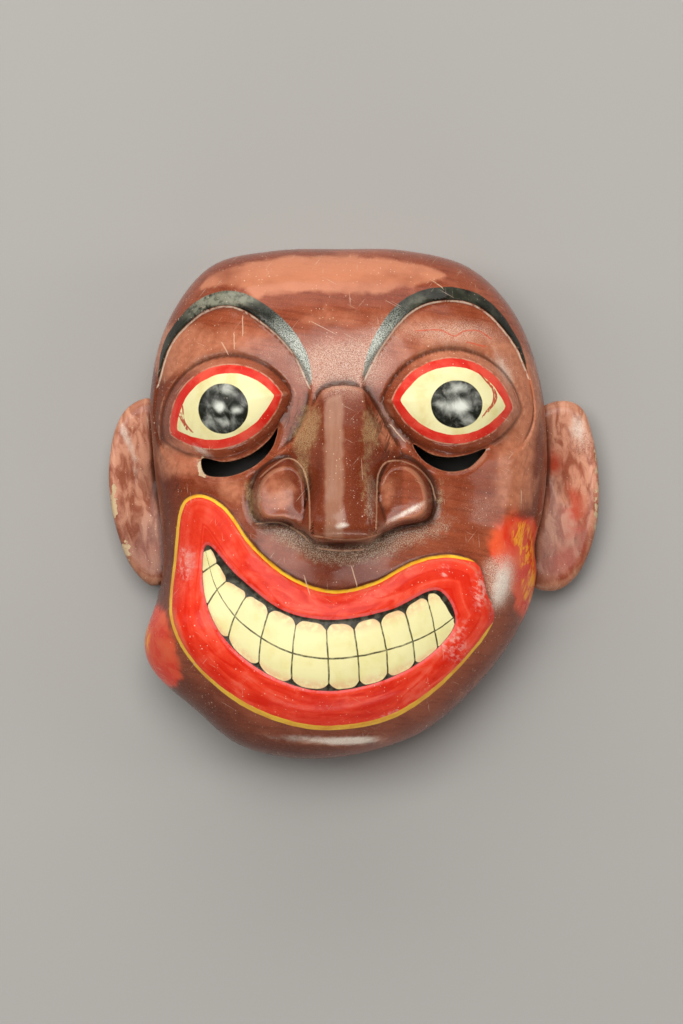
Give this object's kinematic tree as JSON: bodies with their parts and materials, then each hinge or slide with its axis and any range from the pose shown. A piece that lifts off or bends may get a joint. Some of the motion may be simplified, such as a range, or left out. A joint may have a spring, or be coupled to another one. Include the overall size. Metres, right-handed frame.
{
  "type": "carved wooden sanni mask",
  "caption": "Carved and painted wooden dance mask of a grinning demon with broad nose, bulging eyes, slots to see through, large ears and a hollow back.",
  "frame": {"origin": "middle of the mask's outline seen from the front, on the plane of its open back rim", "axes": "+Z the way the face looks, +Y the top of the head, +X to the right of someone looking at the face"},
  "size_m": [0.1937, 0.1996, 0.0958],
  "materials": {
    "painted_wood": "glossy lacquered paint in red-brown, vermilion, black, cream and golden yellow, bare pale wood inside"
  },
  "bodies": {
    "root": {"mask": "painted_wood"}
  },
  "joints": []
}
